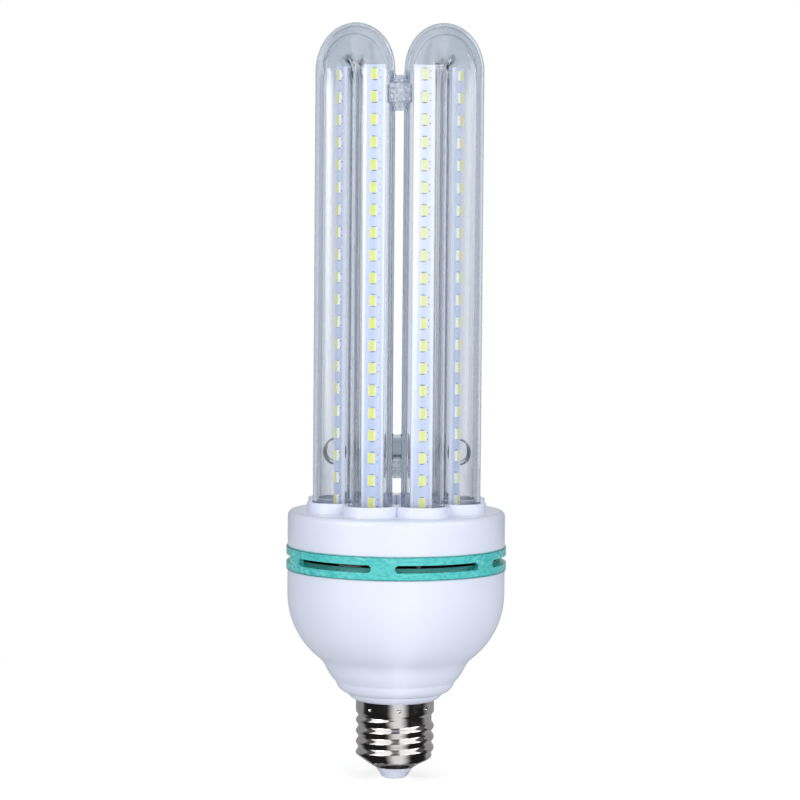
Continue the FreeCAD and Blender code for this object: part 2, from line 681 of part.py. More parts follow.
def make_leads():
    """The wires: two down to the cap, two up to the end strips, and the jumpers from strip to strip."""
    make_disc("live_lead", ("0", "0"), LEAD_RADIUS, STEM_TOP, f"{BOARD_FOOT} - {STEM_TOP}")

    neutral = new_body("neutral_lead", 0)
    drop_radius = f"({STUB_BORE} - size.lead_diameter)"
    level = f"({STUB_FOOT} - {LEAD_RADIUS})"
    path = new_sketch(neutral, "neutral_path")
    bend = "size.lead_bend_radius"
    start = Vector(value(drop_radius), value(BOARD_FOOT), 0)
    corner = Vector(value(drop_radius), value(level), 0)
    reach = value(bend)
    down = path.addGeometry(Part.LineSegment(start, corner + Vector(0, reach, 0)), False)
    turn = Part.Circle(corner + Vector(reach, reach, 0), Vector(0, 0, 1), reach)
    quarter = path.addGeometry(Part.ArcOfCircle(turn, math.pi, 1.5 * math.pi), False)
    # the wire's square end meets the shell's round wall with its two side edges
    wall_reach = f"sqrt({SKIRT_BORE} ^ 2 - ({LEAD_RADIUS}) ^ 2)"
    finish = Vector(value(wall_reach), corner.y, 0)
    out = path.addGeometry(Part.LineSegment(corner + Vector(reach, 0, 0), finish), False)
    place_point(path, down, 1, drop_radius, BOARD_FOOT)
    place_point(path, out, 2, wall_reach, level)
    path.addConstraint(Sketcher.Constraint("Vertical", down))
    path.addConstraint(Sketcher.Constraint("Horizontal", out))
    path.addConstraint(Sketcher.Constraint("Tangent", down, 2, quarter, 1))
    path.addConstraint(Sketcher.Constraint("Tangent", quarter, 2, out, 1))
    set_radius(path, quarter, bend)
    section = new_sketch(neutral, "neutral_section", "XY_Plane", BOARD_FOOT)
    draw_circle(section, drop_radius, "0", LEAD_RADIUS)
    wire = neutral.newObject("PartDesign::AdditivePipe", "neutral_wire")
    wire.Profile = section
    wire.Spine = (path, [])

    behind_strip = f"({STRIP_BACK} - {LEAD_RADIUS})"
    for name, turn in (("strip_lead_left", -HALF_STEP), ("strip_lead_right", HALF_STEP)):
        lead = new_body(name, FRONT_TURN + turn)
        section = new_sketch(lead, f"{name}_section", "XY_Plane", BOARD_TOP)
        draw_circle(section, behind_strip, "0", LEAD_RADIUS)
        extrude(lead, "Pad", section, f"{STRIP_FOOT} + size.lead_joint_height - {BOARD_TOP}")

    # a jumper runs straight across the corner between two strips, and its ends touch their backs
    jumpers = new_body("strip_jumpers", FRONT_TURN + STEP_ANGLE)
    section = new_sketch(jumpers, "jumper_section")
    reach = f"({behind_strip} * sin({HALF_STEP}) - size.jumper_gap / 2)"
    jumper_radius = f"({STRIP_BACK} - {reach} * sin({HALF_STEP})) / cos({HALF_STEP}) - {LEAD_RADIUS}"
    draw_circle(section, jumper_radius, f"{STRIP_FOOT} + size.jumper_height", LEAD_RADIUS)
    one = extrude(jumpers, "Pad", section, f"2 * {reach}", midplane=True)
    polar_copies(jumpers, one, LEG_COUNT - 1, STEP_ANGLE * (LEG_COUNT - 2))


# The Us, with the mid turn of each and the sides where a bridge joins it
make_u_tube("u_tube_front_left", -STEP_ANGLE, (-1,))
make_u_tube("u_tube_front_right", STEP_ANGLE, (1,))
make_u_tube("u_tube_back_left", -3 * STEP_ANGLE, (-1, 1))
make_u_tube("u_tube_back_right", 3 * STEP_ANGLE, (-1, 1))
for side, bridge_turn in (("left", -2), ("back", 4), ("right", 2)):
    make_bridge(f"glass_bridge_{side}", bridge_turn * STEP_ANGLE)
top_bead_top = f"({BEND_FOOT} - size.top_bead_drop)"
make_bead("top_glue_bead", 0, f"{top_bead_top} - size.top_bead_length", top_bead_top)
back_bead_top = f"({BRIDGE_HEIGHT} - size.bridge_diameter / 2)"
make_bead("back_glue_bead", 180, f"{back_bead_top} - size.back_bead_length", back_bead_top)
for leg in range(LEG_COUNT):
    make_strip(leg + 1, HALF_STEP + leg * STEP_ANGLE)
make_cover()
make_vent_ring()
make_bowl()
make_screw_shell()
make_cap_tip()
make_driver()
make_leads()
doc.recompute()

# Every object must have come out whole before anything is written.
faults = [item.Name for item in doc.Objects if {"Invalid", "Error"} & set(item.State)]
NODE_TYPES = ("PartDesign::Body", "Part::Cylinder", "Part::Box")
nodes = [item for item in doc.Objects if item.TypeId in NODE_TYPES]
faults += [item.Label for item in nodes if item.Shape.isNull() or not item.Shape.isValid()]
if faults:
    sys.exit("not whole: " + ", ".join(sorted(set(faults))))

os.makedirs("parts", exist_ok=True)
for item in nodes:
    item.Shape.exportStep(f"parts/{item.Label}.step")
    print(item.Label, len(item.Shape.Solids), round(item.Shape.Volume, 1))
print(len(nodes), "nodes")
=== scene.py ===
# %% [markdown]
# # A corn lamp in clear glass
#
# Four U-bent glass tubes stand on a white moulded base, and a strip of light chips stands in each of
# their eight legs. The engineering model fixes every size and place, so it is loaded first and never
# moved. This notebook gives it its finishes, swaps a few plain solids for finer surfaces, and sets up
# the light and the camera.

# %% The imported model
import json
import math

import bmesh
import bpy
import numpy as np
from mathutils import Matrix, Vector


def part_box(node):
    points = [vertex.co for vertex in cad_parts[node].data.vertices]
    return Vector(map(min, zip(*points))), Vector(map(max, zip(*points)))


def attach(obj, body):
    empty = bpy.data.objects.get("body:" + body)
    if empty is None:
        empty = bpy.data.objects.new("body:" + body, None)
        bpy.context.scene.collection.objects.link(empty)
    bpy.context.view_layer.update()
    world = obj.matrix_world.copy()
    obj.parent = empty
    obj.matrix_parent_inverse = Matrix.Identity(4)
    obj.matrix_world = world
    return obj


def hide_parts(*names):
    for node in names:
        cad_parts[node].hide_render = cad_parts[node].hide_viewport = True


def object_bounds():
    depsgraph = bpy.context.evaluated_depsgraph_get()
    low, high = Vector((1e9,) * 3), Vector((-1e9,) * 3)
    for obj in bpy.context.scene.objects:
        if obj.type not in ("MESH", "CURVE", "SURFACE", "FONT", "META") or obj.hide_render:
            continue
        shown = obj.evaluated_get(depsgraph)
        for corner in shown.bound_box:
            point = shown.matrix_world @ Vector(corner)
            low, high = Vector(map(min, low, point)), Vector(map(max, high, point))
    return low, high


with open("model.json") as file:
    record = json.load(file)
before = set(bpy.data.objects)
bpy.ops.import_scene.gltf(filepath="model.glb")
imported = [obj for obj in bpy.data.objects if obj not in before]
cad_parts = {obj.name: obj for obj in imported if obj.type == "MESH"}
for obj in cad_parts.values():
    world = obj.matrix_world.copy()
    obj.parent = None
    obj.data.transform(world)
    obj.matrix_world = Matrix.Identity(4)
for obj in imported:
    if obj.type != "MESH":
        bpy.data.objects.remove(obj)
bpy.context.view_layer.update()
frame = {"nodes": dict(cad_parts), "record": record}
MM = 0.001


# %% [markdown]
# ## Sizes read from the model
#
# A few radii and heights place everything else. They are measured on the loaded nodes, so a change in
# the engineering model carries through.

# %% Sizes
shell_low, shell_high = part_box("screw_shell")
FLOOR_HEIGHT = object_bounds()[0].z
SHELL_RADIUS = shell_high.x
SHELL_MOUTH = shell_low.z
SHELL_RIM = shell_high.z
LEG_COUNT = 8
LEG_STEP = math.tau / LEG_COUNT
FRONT = -math.pi / 2


def seen_from_front(azimuth_degrees):
    """The angle round +Z of an azimuth that counts from the front (-Y) towards +X."""
    return FRONT + math.radians(azimuth_degrees)


print("shell radius", round(SHELL_RADIUS / MM, 2), "mm, rim at", round(SHELL_RIM / MM, 2), "mm")

# %% [markdown]
# ## Writing shader maths as Python
#
# A material is a graph of nodes, and wiring one by hand hides its formula. Here a socket is wrapped in
# a small class whose operators add Math nodes, so a mask reads like the arithmetic it is. One method
# adds any other node: its settings first, then the values or links of its sockets.


# %% A socket that does arithmetic
class Wire:
    """A socket's output; +, -, * and ** on it add Math nodes to its finish."""

    def __init__(self, finish, socket):
        self.finish = finish
        self.socket = socket

    def maths(self, operation, first, second=0.0):
        return self.finish.node("ShaderNodeMath", {"operation": operation}, {0: first, 1: second})

    def __add__(self, other):
        return self.maths("ADD", self, other)

    def __sub__(self, other):
        return self.maths("SUBTRACT", self, other)

    def __rsub__(self, other):
        return self.maths("SUBTRACT", other, self)

    def __mul__(self, other):
        return self.maths("MULTIPLY", self, other)

    def __pow__(self, other):
        return self.maths("POWER", self, other)

    __radd__ = __add__
    __rmul__ = __mul__

    def between(self, low, high):
        """0 at low and 1 at high, with a smooth run between them."""
        sockets = {"Value": self, "From Min": low, "From Max": high}
        return self.finish.node("ShaderNodeMapRange", {"interpolation_type": "SMOOTHSTEP"}, sockets)


class Finish:
    """A material under construction: node() adds to its graph, surface() closes it."""

    def __init__(self, name):
        self.material = bpy.data.materials.new(name)
        self.material.use_nodes = True
        self.tree = self.material.node_tree
        self.tree.nodes.clear()

    def node(self, kind, settings=None, sockets=None, result=0):
        """Adds a node, sets it up, fills its sockets, and returns one of its outputs."""
        made = self.tree.nodes.new(kind)
        for setting, value in (settings or {}).items():
            setattr(made, setting, value)
        for socket, value in (sockets or {}).items():
            if isinstance(value, Wire):
                self.tree.links.new(value.socket, made.inputs[socket])
            else:
                made.inputs[socket].default_value = value
        return Wire(self, made.outputs[result])

    def place(self):
        """Object coordinates, in metres."""
        return self.node("ShaderNodeTexCoord", result="Object")

    def parts(self, vector):
        """The x, y and z of a vector, each as a wire."""
        split = self.node("ShaderNodeSeparateXYZ", sockets={0: vector})
        return [Wire(self, output) for output in split.socket.node.outputs]

    def noise(self, vector, per_metre, detail=2.0, roughness=0.5, stretch=None):
        """Soft noise from 0 to 1 with that many lumps to the metre; stretch scales its axes."""
        if stretch:
            vector = self.node("ShaderNodeMapping", sockets={"Vector": vector, "Scale": stretch})
        sockets = {"Vector": vector, "Scale": per_metre, "Detail": detail, "Roughness": roughness}
        return self.node("ShaderNodeTexNoise", sockets=sockets)

    def blend(self, share, first, second):
        """A colour between two colours; share 0 gives the first."""
        sockets = {"Factor": share, "A": first, "B": second}
        made = self.node("ShaderNodeMix", {"data_type": "RGBA"})
        for name, value in sockets.items():
            # the node has a socket of each name for every data type: the colour ones are enabled
            target = next(s for s in made.socket.node.inputs if s.name == name and s.enabled)
            if isinstance(value, Wire):
                self.tree.links.new(value.socket, target)
            else:
                target.default_value = value
        colour = next(s for s in made.socket.node.outputs if s.enabled)
        return Wire(self, colour)

    def bump(self, height, depth, strength=1.0):
        """A normal bent by a height from 0 to 1, worth that depth in metres."""
        sockets = {"Height": height, "Distance": depth, "Strength": strength}
        return self.node("ShaderNodeBump", sockets=sockets)

    def surface(self, shader):
        """Ends the graph at a shader and hands the material over."""
        out = self.tree.nodes.new("ShaderNodeOutputMaterial")
        self.tree.links.new(shader.socket, out.inputs["Surface"])
        return self.material


def srgb(red, green, blue):
    """A colour as it is read off a screen, 0 to 255, as the linear values that shaders take."""
    channels = np.array([red, green, blue]) / 255
    linear = np.where(channels <= 0.04045, channels / 12.92, ((channels + 0.055) / 1.055) ** 2.4)
    return (*linear.tolist(), 1.0)


# %% [markdown]
# ## Clear glass
#
# The tubes are blown glass with a wall under a millimetre thick. The wall is modelled, so real
# refraction bends what stands behind it. A tint is taken once on the way in and once on the way out;
# it is partly the glass's own and partly painted shade for the darker room seen through the tubes.
# It deepens where the surface turns away: that is painted shade too, and draws the grey outline of
# every tube, where real glass shows the dark room at its edges.
#
# Light from the lamps has to reach the strips inside, and a path tracer can't aim a shadow ray through
# a bent surface. Shadow rays, and the stray rays that leave the strips, therefore see the glass as
# plainly transparent.

# %% Where a point lies in a glass wall
TUBE_BEND_PLANE = 234.6 * MM
LEG_RADIUS = 22.3 * MM
HALF_SPREAD = LEG_RADIUS * math.sin(LEG_STEP / 2)
TUBE_OFFSET = LEG_RADIUS * math.cos(LEG_STEP / 2)


def off_centre_line(finish):
    """The distance in metres from the centre line of the nearest U-bent tube, and from its crook.

    The four tubes repeat every quarter turn, so the angle is first wrapped to one quarter. There the
    centre line is two straight legs, and above the bend plane a half circle between them.
    """
    x, y, z = finish.parts(finish.place())
    turn = finish.node("ShaderNodeMath", {"operation": "ARCTAN2"}, {0: y, 1: x})
    quarter = math.tau / 4
    wrapped = finish.node("ShaderNodeMath", {"operation": "WRAP"}, {0: turn, 1: quarter, 2: 0.0})
    folded = wrapped - quarter / 2
    radius = (x * x + y * y) ** 0.5
    along = radius * folded.maths("SINE", folded)
    outward = radius * folded.maths("COSINE", folded) - TUBE_OFFSET
    over = z - TUBE_BEND_PLANE
    above = over.maths("MAXIMUM", over, 0.0)
    from_bend = (along * along + above * above) ** 0.5 - HALF_SPREAD
    from_crook = (along * along + over * over) ** 0.5
    return (from_bend * from_bend + outward * outward) ** 0.5, from_crook


# %% Glass
NEAR_WALL = srgb(245, 247, 250)
FAR_WALL = srgb(176, 186, 200)
FAR_WALL_LOW = srgb(168, 177, 189)
DOME_WALL = srgb(188, 197, 209)
INNER_WALL = srgb(218, 224, 231)
INNER_WALL_LOW = srgb(218, 223, 230)
BRIDGE_WALL = srgb(190, 199, 205)
# the side and rim casts are painted shade: they draw each tube's dark outline
GLASS_SIDE_SHADE = srgb(166, 177, 193)
INNER_SIDE = srgb(214, 220, 228)
GLASS_RIM_SHADE = srgb(192, 201, 213)
CURL_SHADE, CURL_SHARE = srgb(126, 138, 142), 0.7
GLASS_IOR = 1.47
# from a tube's centre line: the outer skin of its wall, and what is a bridge's own glass
OUTER_SKIN = (6.45 * MM, 6.75 * MM)
BRIDGE_GLASS = (7.15 * MM, 7.3 * MM)
# from the lamp's axis: the change from the inner side of the tubes to the outer
OUTER_SIDE = (21.5 * MM, 27.5 * MM)
# heights: where the inner side ends, where the low casts pass into the high, and into the domes'
INNER_SIDE_END = (222 * MM, 240 * MM)
LOW_TO_HIGH = (100 * MM, 180 * MM)
INTO_DOMES = (226 * MM, 240 * MM)
# the pinched place: its reach from the crook, its rise from the bend plane, and its wrinkles
PINCH_REACH = (5.5 * MM, 10.5 * MM)
PINCH_RISE = (-6 * MM, 2 * MM)
WRINKLES_PER_METRE, WRINKLE_DEPTH = 150, 0.8 * MM
# how far the surface is turned from the ray, where each cast sets in
SIDE_TURN, RIM_TURN, DULL_TURN, CURL_TURN = (0.42, 0.54), (0.7, 1.0), (0.6, 0.8), (0.35, 0.9)
# surfaces that the ray has passed: those up to the second wall, and up to a tube behind a tube
SECOND_WALL, TUBE_BEHIND = (1.2, 1.8), (3.2, 3.8)


def lets_lamps_through(finish, shader, colour):
    """The shader, but plainly transparent for rays from lamps and from diffuse surfaces."""
    clear = finish.node("ShaderNodeBsdfTransparent", sockets={"Color": colour})
    lamp_ray = finish.node("ShaderNodeLightPath", result="Is Shadow Ray")
    stray_ray = finish.node("ShaderNodeLightPath", result="Is Diffuse Ray")
    either = lamp_ray.maths("MAXIMUM", lamp_ray, stray_ray)
    return finish.node("ShaderNodeMixShader", sockets={0: either, 1: shader, 2: clear})


def turned_away(finish, normal=None):
    """0 where the surface, or a bumped normal, faces the ray, and 1 where the ray grazes it."""
    sockets = {"Blend": 0.5, "Normal": normal} if normal else {"Blend": 0.5}
    return finish.node("ShaderNodeLayerWeight", sockets=sockets, result="Facing")


def clear_glass():
    finish = Finish("clear_glass")
    place = finish.place()
    x, y, z = finish.parts(place)
    off_centre, from_crook = off_centre_line(finish)
    outer = off_centre.between(*OUTER_SKIN)
    slant = turned_away(finish)
    leaving = finish.node("ShaderNodeNewGeometry", result="Backfacing")
    # a strip is seen through one wall and the room through two, so the second wall carries the cast
    crossings = finish.node("ShaderNodeLightPath", result="Transmission Depth")
    # light bounces about between the tubes, so glass on that side of them is paler
    outward = ((x * x + y * y) ** 0.5).between(*OUTER_SIDE)
    outward = outward.maths("MAXIMUM", outward, z.between(*INNER_SIDE_END))
    # the far wall's grey casts are partly the glass's own tint and partly painted shade for the darker
    # room seen through the tubes: darker low down, paler in the domes and on the inner side
    up = z.between(*LOW_TO_HIGH)
    far = finish.blend(up, FAR_WALL_LOW, FAR_WALL)
    far = finish.blend(z.between(*INTO_DOMES), far, DOME_WALL)
    far = finish.blend(outward, finish.blend(up, INNER_WALL_LOW, INNER_WALL), far)
    side = finish.blend(outward, INNER_SIDE, GLASS_SIDE_SHADE)
    tint = finish.blend(crossings.between(*SECOND_WALL), NEAR_WALL, far)
    # near its outline the outer skin alone carries a painted shade, deeper at the side and deepest at
    # the rim: a painted dark outline, where real glass shows the dark room
    tint = finish.blend(outer * slant.between(*SIDE_TURN), tint, side)
    tint = finish.blend(outer * slant.between(*RIM_TURN), tint, GLASS_RIM_SHADE)
    # stray light fills the room between the tubes, so a tube behind a tube is no darker
    entering = outer * (1.0 - leaving) + (1.0 - outer) * leaving
    behind = crossings.between(*TUBE_BEHIND) + crossings.between(*SECOND_WALL) * entering
    tint = finish.blend(behind.maths("MINIMUM", behind, 1.0), tint, (1, 1, 1, 1))
    # a bridge is one thick piece, and so are its fused rims
    tint = finish.blend(off_centre.between(*BRIDGE_GLASS), tint, BRIDGE_WALL)
    # the glass is pinched and wrinkled where the inside of the bend was squeezed
    pinched = 1.0 - from_crook.between(*PINCH_REACH)
    crook = pinched * (z - TUBE_BEND_PLANE).between(*PINCH_RISE)
    wrinkles = finish.noise(place, WRINKLES_PER_METRE, 1.0, 0.5)
    wavy = finish.bump(wrinkles * crook, WRINKLE_DEPTH)
    # where the wrinkled surface turns from the ray the glass is painted darker: painted shade for the
    # dark swirls in the crook
    painted_swirls = turned_away(finish, wavy).between(*CURL_TURN) * crook
    tint = finish.blend(painted_swirls * outer * CURL_SHARE, tint, CURL_SHADE)
    sockets = {
        "Base Color": tint,
        "Roughness": 0.0,
        "IOR": GLASS_IOR,
        "Transmission Weight": 1.0,
        "Normal": wavy,
    }
    glass = finish.node("ShaderNodeBsdfPrincipled", sockets=sockets)
    # at the very edge the wall would mirror the white background; a grey refraction takes its place
    # there: a painted dark rim, where a real tube shows the dark room
    sockets = {"Color": GLASS_RIM_SHADE, "Roughness": 0.0, "IOR": GLASS_IOR}
    dull = finish.node("ShaderNodeBsdfRefraction", sockets=sockets)
    edge = outer * slant.between(*DULL_TURN)
    glass = finish.node("ShaderNodeMixShader", sockets={0: edge, 1: glass, 2: dull})
    return finish.surface(lets_lamps_through(finish, glass, (1, 1, 1, 1)))


def crazed_glue():
    finish = Finish("crazed_glue")
    place = finish.place()
    wobble = finish.noise(place, 900, 2.0)
    cells = finish.node(
        "ShaderNodeTexVoronoi", {"feature": "DISTANCE_TO_EDGE"}, {"Vector": place, "Scale": 560.0}
    )
    crack = cells.between(0.0, 0.16)
    glue = finish.node(
        "ShaderNodeBsdfPrincipled",
        sockets={
            "Base Color": finish.blend(crack, srgb(194, 202, 210), srgb(232, 237, 242)),
            "Roughness": 0.15 + 0.25 * wobble,
            "IOR": 1.45,
            "Transmission Weight": 0.7,
            "Normal": finish.bump(crack + wobble * 0.6, 0.13 * MM),
        },
    )
    return finish.surface(lets_lamps_through(finish, glue, srgb(226, 232, 240)))


# %% [markdown]
# ## Moulded plastics
#
# Injection-moulded parts are even in colour but not in gloss. A very fine bump gives the slight
# orange peel of a polished tool, and slow noise makes the gloss wander a little.


# %% Plastics
PEEL_DEPTH, GLOSS_DRIFT = 0.01 * MM, 0.08


def moulded(name, colour, shade, roughness):
    """A glossy plastic whose colour drifts a little towards a shade of itself."""
    finish = Finish(name)
    place = finish.place()
    slow = finish.noise(place, 45, 2.0)
    fine = finish.noise(place, 1400, 1.0)
    plastic = finish.node(
        "ShaderNodeBsdfPrincipled",
        sockets={
            "Base Color": finish.blend(slow, colour, shade),
            "Roughness": slow * GLOSS_DRIFT + (roughness - GLOSS_DRIFT / 2),
            "IOR": 1.5,
            "Normal": finish.bump(fine, PEEL_DEPTH, 0.5),
        },
    )
    return finish.surface(plastic)


# %% Vent ring
RING_LOW, RING_HIGH = 70.4 * MM, 77.9 * MM
RING_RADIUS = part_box("vent_ring")[1].x
RING_EDGE = 0.45 * MM
# depths behind the ring's face: into the walls of a slot, and into the lips behind it
INTO_SLOT, INTO_LIPS = (0.1 * MM, 0.5 * MM), (2.2 * MM, 2.7 * MM)


def ring_plastic():
    """The coloured plastic of the ring: mottled, with a painted sheen in paler patches, and painted shade
    along its edges.
    """
    finish = Finish("green_plastic")
    place = finish.place()
    x, y, z = finish.parts(place)
    mottle = finish.noise(place, 520, 3.0, 0.5, (1.0, 1.0, 2.2))
    sheen_noise = finish.noise(place, 110, 3.0, 0.6)
    colour = finish.blend(mottle.between(0.3, 0.7), srgb(72, 196, 188), srgb(92, 212, 205))
    # the paler patches are a painted sheen, standing in for reflections on the ring's gloss
    painted_sheen = sheen_noise.between(0.5, 0.68) * mottle.between(0.45, 0.7)
    colour = finish.blend(painted_sheen, colour, srgb(148, 230, 224))
    # painted shade along the top and bottom edges, where the ring meets the housing
    inside = z.between(RING_LOW, RING_LOW + RING_EDGE) * (RING_HIGH - z).between(0.0, RING_EDGE)
    colour = finish.blend(inside, srgb(26, 122, 112), colour)
    # the walls of a slot are one plain colour, and the lips behind it are out of the light
    depth = RING_RADIUS - (x * x + y * y) ** 0.5
    colour = finish.blend(depth.between(*INTO_SLOT), colour, srgb(78, 206, 197))
    colour = finish.blend(depth.between(*INTO_LIPS), colour, srgb(2, 16, 15))
    plastic = finish.node(
        "ShaderNodeBsdfPrincipled",
        sockets={
            "Base Color": colour,
            "Roughness": 0.14 + 0.3 * mottle,
            "IOR": 1.5,
            "Normal": finish.bump(mottle, 0.03 * MM, 0.5),
        },
    )
    return finish.surface(plastic)


# %% [markdown]
# ## Light strips
#
# The boards carry a white lacquer with a cold blue cast, the chip housings are a whiter plastic, and
# the window in each is a gel full of yellow phosphor. The gel is a little deeper in colour towards its
# middle. All eight strips share one material, so the pattern is worked out round the lamp's axis: the
# angle from the nearest leg, times the distance from the axis, is the place across the board.


# %% Strip finishes
# across the board: where the copper ends, and where the gel thins
COPPER_EDGE, GEL_EDGE = (2.9 * MM, 3.2 * MM), (0.74 * MM, 1.02 * MM)
# heights over which the painted shade at the boards' feet fades out, and over which the painted highlight
# on one board rises
BOARD_SHADE_FADE, GLARE_RISE = (90 * MM, 210 * MM), (110 * MM, 230 * MM)
# the painted highlight stands right of the middle and well forward; at its foot this share is left
RIGHT_OF_MIDDLE, FORWARD, GLARE_AT_FOOT = (0.0, 2 * MM), (14 * MM, 17 * MM), 0.25


def across_and_up(finish):
    """The signed distance in metres across the nearest strip, and the height."""
    x, y, z = finish.parts(finish.place())
    turn = finish.node("ShaderNodeMath", {"operation": "ARCTAN2"}, {0: y, 1: x})
    # half a step brings a leg, not a gap, to the middle of the wrapped range
    from_leg = turn.maths("WRAP", turn - LEG_STEP / 2)
    wrap = from_leg.socket.node
    wrap.inputs[1].default_value = LEG_STEP / 2
    wrap.inputs[2].default_value = -LEG_STEP / 2
    radius = finish.node("ShaderNodeMath", {"operation": "POWER"}, {0: x * x + y * y, 1: 0.5})
    return from_leg * radius, z


def painted_glare(finish):
    """A painted highlight: rises to 1 at the top of the strip just right of the front, and is 0 on all
    others.
    """
    x, y, z = finish.parts(finish.place())
    this_strip = x.between(*RIGHT_OF_MIDDLE) * (0.0 - y).between(*FORWARD)
    return this_strip * (z.between(*GLARE_RISE) * (1 - GLARE_AT_FOOT) + GLARE_AT_FOOT)


def strip_board():
    finish = Finish("strip_board")
    across, up = across_and_up(finish)
    place = finish.place()
    off_middle = finish.node("ShaderNodeMath", {"operation": "ABSOLUTE"}, {0: across})
    # the copper under the lacquer stops short of the board's edge
    edge = off_middle.between(*COPPER_EDGE)
    grain = finish.noise(place, 2500, 2.0)
    # the lacquer is painted darker towards the boards' feet: painted shade
    lacquer = finish.blend(up.between(*BOARD_SHADE_FADE), srgb(204, 218, 246), srgb(223, 233, 251))
    board_colour = finish.blend(edge, lacquer, srgb(236, 242, 253))
    board = finish.node(
        "ShaderNodeBsdfPrincipled",
        sockets={
            # one board is painted paler towards its top: a painted highlight
            "Base Color": finish.blend(painted_glare(finish) * 0.7, board_colour, srgb(250, 252, 254)),
            "Roughness": 0.38 + 0.12 * grain,
            "Normal": finish.bump(edge, 0.02 * MM),
        },
    )
    return finish.surface(board)


def chip_housing():
    finish = Finish("chip_housing")
    grain = finish.noise(finish.place(), 3000, 2.0)
    housing = finish.node(
        "ShaderNodeBsdfPrincipled",
        sockets={
            "Base Color": finish.blend(grain, srgb(250, 250, 248), srgb(238, 240, 242)),
            "Roughness": 0.35 + 0.1 * grain,
        },
    )
    return finish.surface(housing)


def phosphor():
    """Yellow gel that thins to cream at the sides of its window."""
    finish = Finish("phosphor")
    across, _ = across_and_up(finish)
    rim = across.maths("ABSOLUTE", across).between(*GEL_EDGE)
    place = finish.place()
    specks = finish.noise(place, 5000, 3.0)
    patch = finish.noise(place, 160, 1.0)
    share = (specks * 0.5 + patch * 0.5).between(0.3, 0.7)
    yellow = finish.blend(share, srgb(252, 255, 130), srgb(246, 250, 100))
    # the painted highlight pales the gel on that strip too
    yellow = finish.blend(painted_glare(finish) * 0.5, yellow, srgb(255, 255, 238))
    gel = finish.node(
        "ShaderNodeBsdfPrincipled",
        sockets={
            "Base Color": finish.blend(rim, yellow, srgb(249, 250, 226)),
            "Roughness": 0.3 + 0.2 * specks,
            "Normal": finish.bump(specks, 0.03 * MM, 0.6),
        },
    )
    return finish.surface(gel)


# %% [markdown]
# ## Metals of the cap
#
# The screw shell is thin brass sheet, pressed into its thread and plated with bright nickel. Handling
# leaves it smudged, so its roughness wanders. The contact is a blob of dull tinned solder.


# %% Metals
def worn_metal(name, colour, shade, polish, smudge):
    """A metal from polish to polish + smudge in roughness."""
    finish = Finish(name)
    place = finish.place()
    handled = finish.noise(place, 130, 4.0, 0.6)
    drawn = finish.noise(place, 900, 2.0, stretch=(0.3, 0.3, 3.0))
    metal = finish.node(
        "ShaderNodeBsdfPrincipled",
        sockets={
            "Base Color": finish.blend(handled, colour, shade),
            "Metallic": 1.0,
            "Roughness": handled.between(0.4, 0.75) * smudge + polish,
            "Normal": finish.bump(drawn, 0.02 * MM, 0.5),
        },
    )
    return finish.surface(metal)


# %% [markdown]
# ## The driver inside
#
# Only slivers of these show through the vent slots, but each still gets the finish of its kind:
# fibreboard, sleeved cans, wound copper, ferrite and moulded epoxy.


# %% Driver finishes
def matt(name, colour, shade, per_metre=600, roughness=0.6, stretch=None):
    """A plain matt stuff whose colour is mottled with a shade."""
    finish = Finish(name)
    grain = finish.noise(finish.place(), per_metre, 3.0, stretch=stretch)
    stuff = finish.node(
        "ShaderNodeBsdfPrincipled",
        sockets={
            "Base Color": finish.blend(grain, colour, shade),
            "Roughness": roughness + 0.15 * grain - 0.07,
            "Normal": finish.bump(grain, 0.05 * MM, 0.5),
        },
    )
    return finish.surface(stuff)


FINISHES = {
    "clear_glass": clear_glass(),
    "clear_glue": crazed_glue(),
    "strip_board": strip_board(),
    "chip_housing": chip_housing(),
    "phosphor": phosphor(),
    "white_plastic": moulded("white_plastic", srgb(240, 243, 252), srgb(234, 238, 250), 0.24),
    "green_plastic": ring_plastic(),
    "nickel_shell": worn_metal("nickel_shell", srgb(206, 204, 204), srgb(188, 185, 184), 0.07, 0.16),
    "cap_insulator": moulded("cap_insulator", srgb(240, 243, 252), srgb(234, 238, 250), 0.2),
    "contact_metal": worn_metal("contact_metal", srgb(214, 212, 208), srgb(180, 178, 176), 0.3, 0.25),
    "driver_board": matt("driver_board", srgb(206, 176, 120), srgb(186, 150, 96)),
    "capacitor_sleeve": moulded("capacitor_sleeve", srgb(40, 42, 48), srgb(30, 32, 36), 0.3),
    "capacitor_can": moulded("capacitor_can", srgb(246, 247, 248), srgb(236, 238, 240), 0.3),
    "ferrite": matt("ferrite", srgb(70, 70, 74), srgb(48, 48, 52), 1500),
    "copper_wire": matt("copper_wire", srgb(190, 104, 56), srgb(140, 66, 34), 900, 0.35, (0.2, 0.2, 4.0)),
    "film_coating": moulded("film_coating", srgb(44, 52, 66), srgb(34, 40, 52), 0.3),
    "black_epoxy": matt("black_epoxy", srgb(44, 44, 46), srgb(30, 30, 32), 2000),
    "fuse_body": matt("fuse_body", srgb(110, 150, 140), srgb(90, 130, 122), 1500),
    "lead_insulation": moulded("lead_insulation", srgb(232, 232, 230), srgb(220, 220, 216), 0.45),
    "tinned_wire": worn_metal("tinned_wire", srgb(214, 212, 208), srgb(184, 182, 180), 0.25, 0.2),
}
for row in frame["record"]["subparts"]:
    slots = frame["nodes"][row["node"]].data.materials
    slots.clear()
    slots.append(FINISHES[row["material_slot"]])
print("finishes:", len(FINISHES))

# %% [markdown]
# ## From arrays to meshes
#
# Every new surface below is a grid: rows and columns of points, worked out as whole arrays. One
# helper turns a grid into faces. Both directions can close on themselves, which makes a tube wall or a
# sealed shell with no seam.


